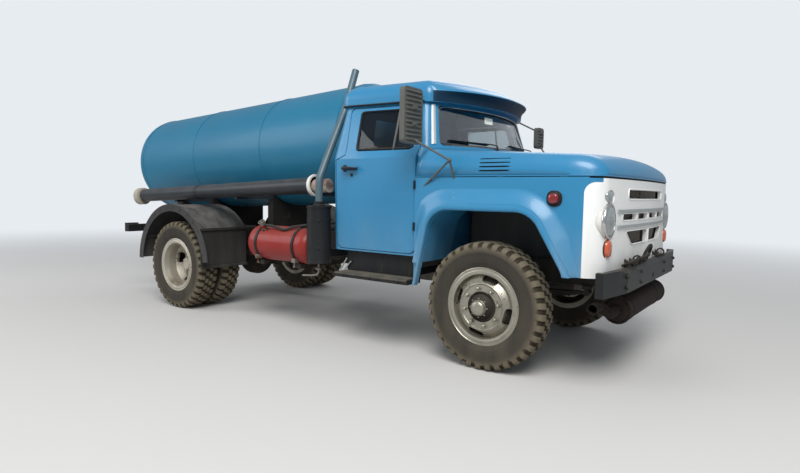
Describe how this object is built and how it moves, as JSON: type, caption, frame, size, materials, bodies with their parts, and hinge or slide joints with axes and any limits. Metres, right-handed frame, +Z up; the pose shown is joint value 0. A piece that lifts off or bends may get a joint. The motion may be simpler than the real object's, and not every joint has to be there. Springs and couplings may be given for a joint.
{
  "type": "tanker truck",
  "caption": "Bonneted vacuum tanker truck with a horizontal cylindrical tank, twin rear wheels, opening doors and bonnet, and steering front wheels.",
  "frame": {"origin": "on the ground, under the middle of the truck's length, on its middle plane", "axes": "+X towards the truck's front, +Y to its left side, +Z up"},
  "size_m": [6.78, 2.578, 2.5121],
  "materials": {
    "blue_paint": "gloss",
    "tank_paint": "satin",
    "white_paint": "gloss",
    "chrome_trim": "satin",
    "black_paint": "satin",
    "chassis_paint": "matte",
    "engine_iron": "matte",
    "rusty_steel": "rough",
    "red_paint": "gloss",
    "valve_metal": "rough",
    "vent_metal": "satin",
    "hose_rubber": "matte",
    "flap_rubber": "matte",
    "tyre_rubber": "matte",
    "wheel_silver": "satin",
    "window_glass": "clear",
    "lamp_glass": "clear",
    "signal_plastic": "gloss",
    "dark_plastic": "matte",
    "seat_cover": "satin",
    "seat_metal": "satin"
  },
  "bodies": {
    "chassis": {"cab_shell": "blue_paint", "front_wings": "blue_paint", "tank": "tank_paint", "nose_panel": "white_paint", "grille_bars": "chrome_trim", "rear_guards": "black_paint", "canister": "black_paint", "front_bumper": "black_paint", "hose_carriers": "black_paint", "cab_steps": "black_paint", "fuel_tank": "black_paint", "mirror_left": "black_paint", "mirror_right": "black_paint", "frame": "chassis_paint", "front_axle": "chassis_paint", "rear_axle": "chassis_paint", "leaf_springs": "chassis_paint", "tank_saddles": "chassis_paint", "gas_cradle": "chassis_paint", "rear_bumper": "chassis_paint", "radiator": "chassis_paint", "tow_hooks": "chassis_paint", "vacuum_pump": "chassis_paint", "engine_block": "engine_iron", "silencer": "rusty_steel", "gas_cylinder": "red_paint", "rear_valve": "valve_metal", "vent_pipe": "vent_metal", "suction_hoses": "hose_rubber", "mud_flaps": "flap_rubber", "cab_glass": "window_glass", "front_lamps": "lamp_glass", "signal_lamps": "signal_plastic", "dashboard": "dark_plastic", "seat_cushions": "seat_cover", "seat_backs": "seat_cover", "seat_bases": "seat_metal"},
    "bonnet": {"bonnet": "blue_paint"},
    "door_left": {"door_left": "blue_paint", "door_glass_left": "window_glass"},
    "door_right": {"door_right": "blue_paint", "door_glass_right": "window_glass"},
    "knuckle_left": {"knuckle_left": "chassis_paint"},
    "knuckle_right": {"knuckle_right": "chassis_paint"},
    "tie_rod": {"tie_rod": "chassis_paint"},
    "front_wheel_left": {"wheel_front_left": "wheel_silver", "tyre_front_left": "tyre_rubber"},
    "front_wheel_right": {"wheel_front_right": "wheel_silver", "tyre_front_right": "tyre_rubber"},
    "rear_wheels_left": {"wheels_rear_left": "wheel_silver", "tyres_rear_left": "tyre_rubber"},
    "rear_wheels_right": {"wheels_rear_right": "wheel_silver", "tyres_rear_right": "tyre_rubber"},
    "hatch_lid": {"hatch_lid": "tank_paint"},
    "steering_wheel": {"steering_wheel": "dark_plastic"}
  },
  "joints": [
    {"name": "bonnet_lift", "type": "hinge", "parent": "chassis", "child": "bonnet", "pos_m": [1.818, 0, 1.69], "axis": [0, -1, 0], "range_deg": [0, 40]},
    {"name": "door_left_swing", "type": "hinge", "parent": "chassis", "child": "door_left", "pos_m": [1.81, 1.045, 1.2], "axis": [0, 0, -1], "range_deg": [0, 65]},
    {"name": "door_right_swing", "type": "hinge", "parent": "chassis", "child": "door_right", "pos_m": [1.81, -1.045, 1.2], "axis": [0, 0, 1], "range_deg": [0, 65]},
    {"name": "steer_left", "type": "hinge", "parent": "chassis", "child": "knuckle_left", "pos_m": [2.41, 0.79, 0.49], "axis": [0, 0, 1], "range_deg": [-34, 34]},
    {"name": "steer_right", "type": "hinge", "parent": "chassis", "child": "knuckle_right", "pos_m": [2.41, -0.79, 0.49], "axis": [0, 0, 1], "range_deg": [-34, 34]},
    {"name": "tie_rod_pivot", "type": "hinge", "parent": "knuckle_left", "child": "tie_rod", "pos_m": [2.255, 0.79, 0.3857], "axis": [0, 0, 1], "range_deg": [-34, 34]},
    {"name": "front_wheel_left_spin", "type": "hinge", "parent": "knuckle_left", "child": "front_wheel_left", "pos_m": [2.41, 0.9, 0.49], "axis": [0, 1, 0], "continuous": true},
    {"name": "front_wheel_right_spin", "type": "hinge", "parent": "knuckle_right", "child": "front_wheel_right", "pos_m": [2.41, -0.9, 0.49], "axis": [0, 1, 0], "continuous": true},
    {"name": "rear_wheels_left_spin", "type": "hinge", "parent": "chassis", "child": "rear_wheels_left", "pos_m": [-1.39, 0.895, 0.49], "axis": [0, 1, 0], "continuous": true},
    {"name": "rear_wheels_right_spin", "type": "hinge", "parent": "chassis", "child": "rear_wheels_right", "pos_m": [-1.39, -0.895, 0.49], "axis": [0, 1, 0], "continuous": true},
    {"name": "hatch_swing", "type": "hinge", "parent": "chassis", "child": "hatch_lid", "pos_m": [-3.2928, 0.275, 1.7015], "axis": [0.0454, 0, -0.999], "range_deg": [0, 110]},
    {"name": "steering_wheel_turn", "type": "hinge", "parent": "chassis", "child": "steering_wheel", "pos_m": [1.505, 0.46, 1.6], "axis": [-0.788, 0, 0.6157], "range_deg": [-612, 612]}
  ],
  "couplings": [
    {"joint": "steer_right", "follows": "steer_left", "ratio": 1},
    {"joint": "tie_rod_pivot", "follows": "steer_left", "ratio": -1},
    {"joint": "steering_wheel_turn", "follows": "steer_left", "ratio": 18}
  ]
}
